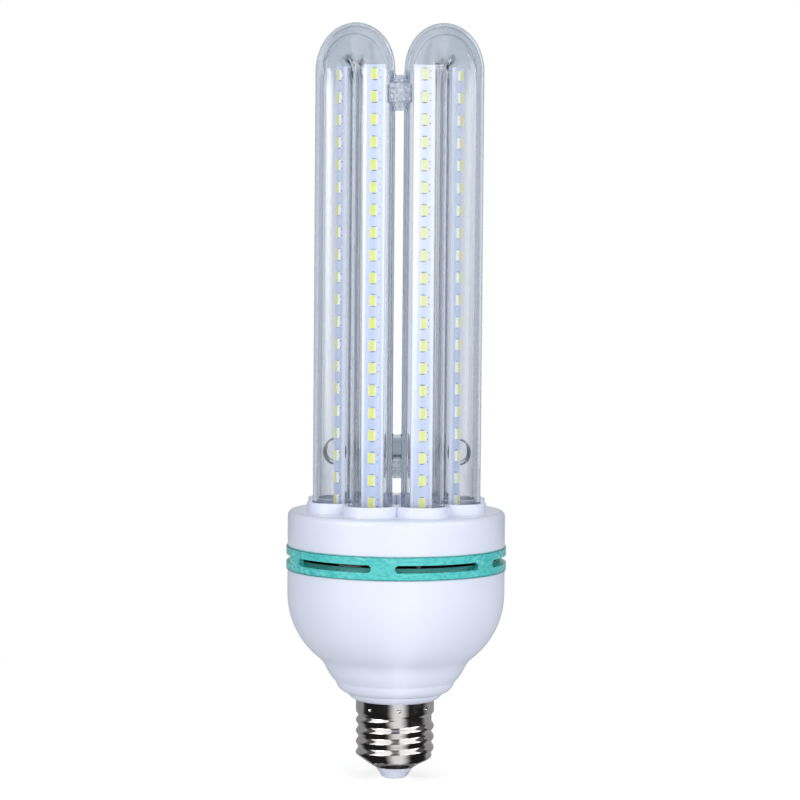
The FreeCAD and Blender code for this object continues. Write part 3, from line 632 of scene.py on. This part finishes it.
# %% Grid to mesh
def grid_faces(rows, columns, close_rows, close_columns):
    """Quads of a grid as corner numbers; a closed direction joins its last line to its first."""
    row = np.arange(rows if close_rows else rows - 1)[:, None]
    column = np.arange(columns if close_columns else columns - 1)[None, :]
    below, beside = (row + 1) % rows, (column + 1) % columns
    corners = (
        row * columns + column,
        row * columns + beside,
        below * columns + beside,
        below * columns + column,
    )
    return np.stack(corners, -1).reshape(-1, 4)


def mesh_piece(name, points, faces, slot, body="root"):
    """A smooth-shaded object of those points and faces, riding on a body with a slot's finish."""
    mesh = bpy.data.meshes.new(name)
    mesh.vertices.add(len(points))
    mesh.vertices.foreach_set("co", np.ascontiguousarray(points, np.float32).ravel())
    mesh.loops.add(faces.size)
    mesh.loops.foreach_set("vertex_index", faces.ravel().astype(np.int32))
    mesh.polygons.add(len(faces))
    mesh.polygons.foreach_set("loop_start", np.arange(0, faces.size, faces.shape[1], dtype=np.int32))
    mesh.polygons.foreach_set("use_smooth", np.ones(len(faces), bool))
    mesh.update(calc_edges=True)
    mesh.validate()
    mesh.materials.append(FINISHES[slot])
    piece = bpy.data.objects.new(name, mesh)
    bpy.context.scene.collection.objects.link(piece)
    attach(piece, body)
    print(name, len(points), "points,", len(faces), "faces")
    return piece


def smooth_step(x):
    """0 below 0, 1 above 1, and 3x^2 - 2x^3 between."""
    x = np.clip(x, 0, 1)
    return x * x * (3 - 2 * x)


# %% [markdown]
# ## The bent tubes
#
# Each tube is one wall swept along a U. The engineering model has it in flat facets a millimetre
# wide, and refraction turns those into fine stripes, so it is swept again here with far more of them.
# A grid can't have a hole, so the port that a bridge needs in the wall is cut out with a Boolean.

# %% Bent tubes
TUBE_RADIUS, TUBE_WALL = 7.05 * MM, 0.9 * MM
TUBE_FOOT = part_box("u_tube_front_left")[0].z
BRIDGE_HEIGHT, PORT_RADIUS = 109.3 * MM, 3.1 * MM
BRIDGES = {"left": -90, "back": 180, "right": 90}
WALL_SIDES, LEG_RINGS, BEND_RINGS, ROD_SIDES = 144, 36, 64, 64
SHARP_ANGLE = math.radians(60)
TUBES = {
    "front_left": (-45, ("left",)),
    "front_right": (45, ("right",)),
    "back_left": (-135, ("left", "back")),
    "back_right": (135, ("right", "back")),
}


def turned(azimuth, outward, along, up):
    """Points given as distances outward, along the tangent and up, at an azimuth."""
    turn = seen_from_front(azimuth)
    x = outward * math.cos(turn) - along * math.sin(turn)
    y = outward * math.sin(turn) + along * math.cos(turn)
    return np.stack([x, y, up + 0 * x], -1).reshape(-1, 3)


def bent_tube(name, azimuth):
    """A pipe wall along a U: up a leg, over a half circle and down, then back along the bore.

    A point stands off the path by the radius times cos p in the plane of the U and sin p outwards.
    """
    leg = np.linspace(TUBE_FOOT, TUBE_BEND_PLANE, LEG_RINGS)[:-1] - TUBE_BEND_PLANE
    bend = np.linspace(0, math.pi, BEND_RINGS)
    angle = np.concatenate([0 * leg, bend, 0 * leg + math.pi])
    below = np.concatenate([leg, 0 * bend, leg[::-1]])
    radius = np.repeat([TUBE_RADIUS, TUBE_RADIUS - TUBE_WALL], len(angle))[:, None]
    angle = np.concatenate([angle, angle[::-1]])[:, None]
    below = np.concatenate([below, below[::-1]])[:, None]
    wall = np.arange(WALL_SIDES) * math.tau / WALL_SIDES
    reach = HALF_SPREAD + radius * np.cos(wall)
    points = turned(
        azimuth,
        TUBE_OFFSET + radius * np.sin(wall),
        -np.cos(angle) * reach,
        TUBE_BEND_PLANE + below + np.sin(angle) * reach,
    )
    faces = grid_faces(*reach.shape, close_rows=True, close_columns=True)
    return mesh_piece(name, points, faces, "clear_glass")


def port_rod(azimuth):
    """A closed rod as wide as a bridge's bore, from the middle of one leg to the next."""
    wall = np.arange(ROD_SIDES) * math.tau / ROD_SIDES
    outward = np.tile(TUBE_OFFSET + PORT_RADIUS * np.cos(wall), 2)
    up = np.tile(BRIDGE_HEIGHT + PORT_RADIUS * np.sin(wall), 2)
    along = np.repeat([-HALF_SPREAD, HALF_SPREAD], ROD_SIDES)
    sides = grid_faces(2, ROD_SIDES, close_rows=False, close_columns=True)
    ends = [list(range(ROD_SIDES))[::-1], list(range(ROD_SIDES, 2 * ROD_SIDES))]
    mesh = bpy.data.meshes.new("port_rod")
    mesh.from_pydata(turned(azimuth, outward, along, up).tolist(), [], sides.tolist() + ends)
    rod = bpy.data.objects.new("port_rod", mesh)
    bpy.context.scene.collection.objects.link(rod)
    return rod


def cut_away(piece, cutter):
    """Takes the cutter out of the piece's mesh for good."""
    cut = piece.modifiers.new("port", "BOOLEAN")
    cut.operation, cut.solver, cut.object = "DIFFERENCE", "EXACT", cutter
    whole = piece.evaluated_get(bpy.context.evaluated_depsgraph_get())
    mesh = bpy.data.meshes.new_from_object(whole)
    piece.modifiers.clear()
    piece.data = mesh
    print(piece.name, "cut,", len(mesh.polygons), "faces")


rods = {side: port_rod(azimuth) for side, azimuth in BRIDGES.items()}
for place_name, (azimuth, bridged) in TUBES.items():
    tube = bent_tube(f"clear_tube_{place_name}", azimuth)
    for side in bridged:
        cut_away(tube, rods[side])
    tube.data.set_sharp_from_angle(angle=SHARP_ANGLE)
    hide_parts(f"u_tube_{place_name}")
for rod in rods.values():
    bpy.data.objects.remove(rod)

# %% [markdown]
# ## Fused rims and solder
#
# A bridge is melted onto a leg, and the glass draws up into a thin rim where they meet. The rim
# follows the saddle curve of two crossing cylinders. On the strips every chip is soldered at its top
# and bottom, and two small joints stand beside it. Those are hundreds, so each is a squashed ball of
# a few dozen faces, and all of them are one mesh.

# %% Fused rims
BRIDGE_RADIUS, RIM_RADIUS = 4.1 * MM, 0.28 * MM
RIM_STEPS, RIM_SIDES = 72, 12


def fused_rim(name, azimuth, end):
    """A thin ring along the curve where a bridge meets a leg.

    At angle q round the bridge the curve stands sqrt(R^2 - (r cos q)^2) off the leg's middle.
    """
    q = (np.arange(RIM_STEPS) * math.tau / RIM_STEPS)[:, None]
    p = np.arange(RIM_SIDES) * math.tau / RIM_SIDES
    reach = BRIDGE_RADIUS + RIM_RADIUS * np.cos(p)
    off_leg = np.sqrt(TUBE_RADIUS**2 - (BRIDGE_RADIUS * np.cos(q)) ** 2)
    along = end * (HALF_SPREAD - off_leg + RIM_RADIUS * np.sin(p))
    outward, up = TUBE_OFFSET + reach * np.cos(q), BRIDGE_HEIGHT + reach * np.sin(q)
    faces = grid_faces(RIM_STEPS, RIM_SIDES, close_rows=True, close_columns=True)
    # the near end is the far end's mirror image, so its faces are turned round to point outwards
    outside = faces[:, ::-1] if end < 0 else faces
    return mesh_piece(name, turned(azimuth, outward, along, up), outside, "clear_glass")


for side, azimuth in BRIDGES.items():
    for end, word in ((-1, "near"), (1, "far")):
        fused_rim(f"fused_rim_{side}_{word}", azimuth, end)

# %% Solder marks
CHIP_COUNT, WINDOW_HEIGHT = 20, 3.1 * MM
STRIP_FACE = 21.15 * MM
BALL_RINGS, BALL_SIDES, BALL_STANDS_OUT = 6, 8, 0.22 * MM
SAME_POINT = 0.001 * MM


def weld(piece):
    """Joins points that lie together, such as the ring of points at a ball's pole."""
    work = bmesh.new()
    work.from_mesh(piece.data)
    bmesh.ops.remove_doubles(work, verts=work.verts, dist=SAME_POINT)
    work.to_mesh(piece.data)
    work.free()
    print(piece.name, "welded,", len(piece.data.vertices), "points")


def small_marks(name, marks, slot):
    """Squashed balls on every board's face, some to each chip.

    A mark is (across, up, half width, half height) from the middle of its chip.
    """
    low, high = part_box("led_phosphor_1")
    heights = np.linspace(low.z + WINDOW_HEIGHT / 2, high.z - WINDOW_HEIGHT / 2, CHIP_COUNT)
    across, up, wide, tall = [np.array(column)[:, None, None] * MM for column in zip(*marks)]
    swing = np.linspace(0, math.pi, BALL_RINGS)[:, None]
    turn = np.arange(BALL_SIDES) * math.tau / BALL_SIDES
    along = across + wide * np.sin(swing) * np.cos(turn)
    rise = up + tall * np.sin(swing) * np.sin(turn)
    outward = STRIP_FACE + BALL_STANDS_OUT * np.cos(swing) + 0 * along
    points, faces = [], []
    # the rings run from the ball's outer pole to its inner one, so the faces are turned round
    ball = grid_faces(BALL_RINGS, BALL_SIDES, close_rows=False, close_columns=True)[:, ::-1]
    for leg in range(LEG_COUNT):
        azimuth = math.degrees((leg + 0.5) * LEG_STEP)
        for height in heights:
            for mark in range(len(marks)):
                faces.append(ball + BALL_RINGS * BALL_SIDES * len(points))
                points.append(turned(azimuth, outward[mark], along[mark], height + rise[mark]))
    return mesh_piece(name, np.concatenate(points), np.concatenate(faces), slot)


weld(small_marks("solder_fillets", [(0, 1.85, 1.0, 0.26), (0, -1.85, 1.0, 0.26)], "tinned_wire"))
# the two joints beside each chip take black epoxy's finish: their black is a painted dark reflection, as
# solder that mirrors a dark room shows dark
weld(small_marks("strip_dots", [(2.0, 1.05, 0.16, 0.22), (2.0, -1.15, 0.16, 0.22)], "black_epoxy"))

# %% [markdown]
# ## The screw shell
#
# An Edison thread is rolled into thin sheet, so it is a round wave with no sharp crest. The surface
# is a radius over height and angle. The plain body has a cone, a barrel and a wider skirt, and the
# thread adds half of 1 + cos of the distance from the nearest crest line, which climbs one pitch per
# turn. The wave fades where the thread starts and ends. Eight small dents on the skirt are the punch
# marks that crimp the shell onto the plastic stub.

# %% Shell surface
THREAD_PITCH = 3.629 * MM
CREST_AT_FRONT = 16.58 * MM
THREAD_RISE = 0.82 * MM
THREAD_FROM, THREAD_TO = 4.6 * MM, 20.4 * MM
THREAD_FADE = 0.9 * MM
FOOT_FADE = 2.6 * THREAD_FADE
CONE_TOP, CONE_ROUND = 7.4 * MM, 0.5 * MM
MOUTH_RADIUS = 6.8 * MM
SKIRT_FOOT, SKIRT_SLOPE = 22.6 * MM, 1.6 * MM
SHEET = 0.3 * MM
PUNCH_HEIGHT, PUNCH_DEPTH, PUNCH_WIDTH = 24.3 * MM, 0.4 * MM, 0.55 * MM
PUNCH_AZIMUTH = 6.0
SHELL_SIDES, OUTER_RINGS, INNER_RINGS = 288, 170, 60


def plain_shell_radius(height):
    """Cone to the barrel, then the slope up to the skirt."""
    root = SHELL_RADIUS - THREAD_RISE
    cone = MOUTH_RADIUS + (root - MOUTH_RADIUS) * (height - SHELL_MOUTH) / (CONE_TOP - SHELL_MOUTH)
    # a soft minimum of the two rounds the corner where the cone meets the barrel
    excess = (cone - root) / CONE_ROUND
    barrel = root - CONE_ROUND * np.log1p(np.exp(-np.clip(excess, -60, 60)))
    slope = smooth_step((height - (SKIRT_FOOT - SKIRT_SLOPE)) / SKIRT_SLOPE)
    return barrel + THREAD_RISE * slope


def thread_wave(height, turn):
    """The rise times half of 1 + cos across the thread, faded by how high its nearest crest lies."""
    crests = (height - CREST_AT_FRONT) / THREAD_PITCH - (turn - FRONT) / math.tau
    off_crest = crests - np.round(crests)
    crest_height = height - off_crest * THREAD_PITCH
    fade = smooth_step((crest_height - THREAD_FROM) / FOOT_FADE)
    fade = fade * smooth_step((THREAD_TO - crest_height) / THREAD_FADE)
    return THREAD_RISE * fade * (1 + np.cos(math.tau * off_crest)) / 2


def punch_marks(height, turn):
    """Eight round dents, a bell curve of the distance from the nearest centre."""
    wrapped = (turn - seen_from_front(PUNCH_AZIMUTH)) / LEG_STEP
    along = (wrapped - np.round(wrapped)) * LEG_STEP * SHELL_RADIUS
    apart = np.hypot(along, height - PUNCH_HEIGHT)
    return PUNCH_DEPTH * np.exp(-((apart / PUNCH_WIDTH) ** 2) * 2)


def formed_shell():
    """The outer face, then an inner face one sheet behind it, closed into one shell."""
    turns = np.arange(SHELL_SIDES) * math.tau / SHELL_SIDES
    outer_heights = np.linspace(SHELL_MOUTH, SHELL_RIM, OUTER_RINGS)
    inner_heights = np.linspace(SHELL_RIM, SHELL_MOUTH, INNER_RINGS)
    height, turn = np.meshgrid(outer_heights, turns, indexing="ij")
    outer = plain_shell_radius(height) + thread_wave(height, turn) - punch_marks(height, turn)
    inner_height, inner_turn = np.meshgrid(inner_heights, turns, indexing="ij")
    inner = plain_shell_radius(inner_height) + thread_wave(inner_height, inner_turn) - SHEET
    radius = np.vstack([outer, inner])
    height = np.vstack([height, inner_height])
    turn = np.vstack([turn, inner_turn])
    points = np.stack([radius * np.cos(turn), radius * np.sin(turn), height], -1).reshape(-1, 3)
    faces = grid_faces(*radius.shape, close_rows=True, close_columns=True)
    return mesh_piece("formed_shell", points, faces, "nickel_shell")


shell = formed_shell()
shell.data.set_sharp_from_angle(angle=SHARP_ANGLE)
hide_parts("screw_shell")

# %% [markdown]
# ## Light and surroundings
#
# The lamp stands on a pale floor before a white background. The background is white only to rays from
# the camera and to those that glass and metal send back, so it does not light the object. The floor
# has a glow of its own that brings it up to white, and the object's shadow still falls on it; further
# out it turns into the plain background.

# %% World and floor
AMBIENT = srgb(220, 226, 240)
AMBIENT_STRENGTH = 0.66
FLOOR_HALF = 6.0
LIT_TO_PLAIN = (0.06, 0.3)
SEEN = ("Is Camera Ray", "Is Glossy Ray", "Is Transmission Ray")


def seen_rays(finish):
    """1 for rays from the camera, from gloss and through glass, else 0."""
    total = 0.0
    for kind in SEEN:
        total = finish.node("ShaderNodeLightPath", result=kind) + total
    return total.maths("MINIMUM", total, 1.0)


class Surroundings(Finish):
    """The world's graph, built as a material's is."""

    def __init__(self, name):
        self.material = bpy.data.worlds.new(name)
        self.material.use_nodes = True
        self.tree = self.material.node_tree
        self.tree.nodes.clear()

    def surface(self, shader):
        out = self.tree.nodes.new("ShaderNodeOutputWorld")
        self.tree.links.new(shader.socket, out.inputs["Surface"])
        return self.material


def studio_world():
    world = Surroundings("studio")
    ambient = world.node("ShaderNodeBackground", sockets={"Color": AMBIENT, "Strength": AMBIENT_STRENGTH})
    white = world.node("ShaderNodeBackground", sockets={"Color": (1, 1, 1, 1), "Strength": 1.0})
    mixed = world.node("ShaderNodeMixShader", sockets={0: seen_rays(world), 1: ambient, 2: white})
    return world.surface(mixed)


def flat_stage(name, corners, finish):
    """A single face that is part of the studio, not of the object."""
    mesh = bpy.data.meshes.new(name)
    mesh.from_pydata([tuple(corner) for corner in corners], [], [tuple(range(len(corners)))])
    mesh.materials.append(finish)
    stage = bpy.data.objects.new(name, mesh)
    bpy.context.scene.collection.objects.link(stage)
    return stage


def studio_floor():
    """A wide plane: lit near the object, plain white further out."""
    finish = Finish("floor")
    x, y, _ = finish.parts(finish.place())
    away = (x * x + y * y) ** 0.5
    lit = finish.node("ShaderNodeBsdfDiffuse", sockets={"Color": (0.9, 0.9, 0.9, 1)})
    glow = finish.node("ShaderNodeEmission", sockets={"Color": (1.0, 0.96, 0.88, 1), "Strength": 0.52})
    near = finish.node("ShaderNodeAddShader", sockets={0: lit, 1: glow})
    far = finish.node("ShaderNodeEmission", sockets={"Color": (1, 1, 1, 1), "Strength": 1.0})
    faded = finish.node("ShaderNodeMixShader", sockets={0: away.between(*LIT_TO_PLAIN), 1: near, 2: far})
    mixed = finish.node("ShaderNodeMixShader", sockets={0: seen_rays(finish), 1: lit, 2: faded})
    half, low = FLOOR_HALF, FLOOR_HEIGHT
    corners = [(-half, -half, low), (half, -half, low), (half, half, low), (-half, half, low)]
    return flat_stage("floor", corners, finish.surface(mixed))


bpy.context.scene.world = studio_world()
studio_floor()

# %% [markdown]
# ## Softboxes and cards
#
# Shiny things show the room around them, so the room is what is designed here. Four softboxes in front
# light the white base, and are hidden from gloss and from rays through glass, which would show them as
# hard patches. Tall narrow lamps stand at the front and the back. The rest of what metal, glass and
# plastic mirror is cards: black ones give the nickel shell its dark bands, and bright ones draw the
# long streaks on the glass. The cards are seen by glossy rays alone, so they light nothing matt and
# take no light from it.

# %% Softboxes and cards
AIM_HEIGHT = 0.13


def softbox(name, azimuth, distance, height, width, tall, level):
    """A rectangular lamp facing the object; a white surface that faces it renders at that level."""
    lamp = bpy.data.lights.new(name, "AREA")
    lamp.shape = "RECTANGLE"
    lamp.size, lamp.size_y = width, tall
    # a diffuse white sends back E / pi, and E is power / (pi d^2) at distance d
    lamp.energy = level * (math.pi * distance) ** 2
    turn = seen_from_front(azimuth)
    holder = bpy.data.objects.new(name, lamp)
    holder.location = (distance * math.cos(turn), distance * math.sin(turn), height)
    aim = Vector((0, 0, AIM_HEIGHT)) - holder.location
    holder.rotation_euler = aim.to_track_quat("-Z", "Y").to_euler()
    bpy.context.scene.collection.objects.link(holder)
    return holder


CARD_TURNS = 13
# a card whose low edge is above this hangs free of the floor
OFF_THE_FLOOR = 0.001


def card(
    name, azimuth_from, azimuth_to, low, high, grey, near=0.0085, far=1.5, soft=8.0, top=None, rise=0.0
):
    """A folded card: a sector just over the floor, then upright at its far end.

    Only glossy rays see it. It fades out over its last degrees at each side, as many as soft says, and
    fades in over its lowest metres, as many as rise says. Its level runs from grey at the floor to top
    at its upper edge. One that hangs free of the floor has no sector.
    """
    finish = Finish(name)
    x, y, z = finish.parts(finish.place())
    # a card that lies flat has no height to share its levels over, so the height has a least value
    level = z * (((grey if top is None else top) - grey) / max(high, 0.01)) + grey
    even = finish.node("ShaderNodeEmission", sockets={"Color": (1, 1, 1, 1), "Strength": level})
    azimuth = finish.node("ShaderNodeMath", {"operation": "ARCTAN2"}, {0: x, 1: 0.0 - y})
    middle = math.radians(azimuth_from + azimuth_to) / 2
    half = math.radians(azimuth_to - azimuth_from) / 2
    off_middle = azimuth.maths("ABSOLUTE", azimuth - middle)
    fade = off_middle.between(half - math.radians(soft), half)
    if rise:
        fade = fade.maths("MAXIMUM", fade, 1.0 - z.between(low, low + rise))
    clear = finish.node("ShaderNodeBsdfTransparent", sockets={"Color": (1, 1, 1, 1)})
    even = finish.node("ShaderNodeMixShader", sockets={0: fade, 1: even, 2: clear})
    turns = np.radians(np.linspace(azimuth_from, azimuth_to, CARD_TURNS)) + FRONT
    reach = np.array([near, far, far])[:, None]
    height = np.array([low, low, high])[:, None] * np.ones(len(turns))
    if low > OFF_THE_FLOOR:
        reach, height = reach[1:], height[1:] + [[low - high], [0.0]]
    points = np.stack([reach * np.cos(turns), reach * np.sin(turns), height], -1).reshape(-1, 3)
    mesh = bpy.data.meshes.new(name)
    faces = grid_faces(len(height), len(turns), close_rows=False, close_columns=False)
    mesh.from_pydata(points.tolist(), [], faces.tolist())
    mesh.materials.append(finish.surface(even))
    made = bpy.data.objects.new(name, mesh)
    bpy.context.scene.collection.objects.link(made)
    made.visible_camera = made.visible_diffuse = made.visible_shadow = made.visible_transmission = False
    return made


# azimuth, distance, height, width, tall, level, and whether gloss and rays through glass see it
LAMPS = {
    "front_softbox": (6, 1.8, 0.16, 1.2, 0.62, 0.30, False, False),
    "low_softbox": (0, 0.5, 0.045, 0.5, 0.07, 0.085, False, False),
    "left_softbox": (-38, 1.4, 0.78, 1.0, 0.5, 0.115, False, False),
    "right_softbox": (36, 1.4, 0.78, 1.0, 0.5, 0.12, False, False),
    "left_strip_light": (-47, 1.2, 0.20, 0.24, 0.7, 0.04, True, False),
    "right_strip_light": (36, 1.2, 0.20, 0.24, 0.7, 0.055, True, False),
    "back_left_strip": (-122, 1.2, 0.30, 0.24, 1.0, 0.05, True, True),
    "back_right_strip": (148, 1.2, 0.30, 0.24, 1.0, 0.025, True, True),
}
for name, (*setup, in_gloss, through_glass) in LAMPS.items():
    lamp = softbox(name, *setup)
    lamp.visible_glossy, lamp.visible_transmission = in_gloss, through_glass

# what the barrel and the thread of the shell mirror: dark at both sides of the front, grey behind,
# and a bright stretch of the floor in front
card("right_black_card", 16, 112, 0.0007, 1.35, 0.02, soft=28.0)
card("left_black_card", -118, 4, 0.0007, 1.35, 0.02, soft=28.0)
card("right_high_card", 76, 126, 1.3, 3.2, 0.12, far=1.44)
card("left_high_card", -126, -76, 1.3, 3.2, 0.12, far=1.44)
card("right_grey_card", 84, 178, 0.0006, 8.0, 0.43, soft=2.0)
card("left_grey_card", -178, -82, 0.0006, 8.0, 0.41, soft=2.0)
card("right_low_card", 100, 178, 0.0006, 0.075, 0.43, far=0.08)
card("left_low_card", -178, -96, 0.0006, 0.075, 0.41, far=0.08)
card("front_grey_card", -40, 41, 0.0006, 0.0006, 1.2, far=0.4, soft=9.0)
# what its cone mirrors: two flat rings on the floor, right under the cap
card("under_card", -180, 180, 0.0005, 0.0005, 0.02, near=0.003, far=0.0062, soft=0.01)
card("cone_card", -180, 180, 0.0005, 0.0005, 0.22, near=0.0062, soft=0.01, far=0.0085)
# high cards: a dark one in front, and a bright one at each side of it
card("lens_card", -18, 16, 0.9, 3.0, 0.2, far=1.4, soft=5.0)
card("left_tall_panel", -86, -10, 1.3, 3.0, 1.6, far=1.45)
card("right_tall_panel", 10, 84, 1.3, 3.0, 1.6, far=1.45)
# the glass cards draw the long streaks on the tubes, and fade in from below, so that the housing shows
# no edge of them; the side cards are dark, and stand further round to the back
card("left_glass_card", -62, -32, 0.028, 0.285, 1.6, far=0.7, top=13.0, rise=0.07)
card("left_side_card", -160, -88, 0.06, 0.32, 0.1, far=0.69)
card("right_side_card", 90, 160, 0.06, 0.32, 0.02, far=0.69)
card("right_glass_card", 48, 84, 0.028, 0.285, 0.8, far=0.7, soft=10.0, top=6.0, rise=0.07)
print("lamps:", len(LAMPS))

# %% [markdown]
# ## Camera
#
# A long lens about a metre away, a little above the middle and tipped slightly down. It leans by half
# a degree, as the photograph does, so the lamp's top drifts to the right.

# %% Camera
EYE = Vector((0.0, -1.0, 0.1887))
PITCH = math.radians(3.563)
LEAN = math.radians(0.453)
FOCAL_PIXELS, FRAME_PIXELS, SENSOR = 3014.0, 800.0, 36.0
AXIS_PIXEL = 397.37

camera_data = bpy.data.cameras.new("camera")
camera_data.sensor_width = SENSOR
camera_data.lens = FOCAL_PIXELS * SENSOR / FRAME_PIXELS
camera_data.shift_x = (FRAME_PIXELS / 2 - AXIS_PIXEL) / FRAME_PIXELS
camera = bpy.data.objects.new("camera", camera_data)
level = Matrix.Rotation(math.pi / 2 - PITCH, 4, "X")
camera.matrix_world = Matrix.Translation(EYE) @ level @ Matrix.Rotation(LEAN, 4, "Z")
bpy.context.scene.collection.objects.link(camera)
bpy.context.scene.camera = camera
bpy.context.scene.view_settings.view_transform = "Standard"
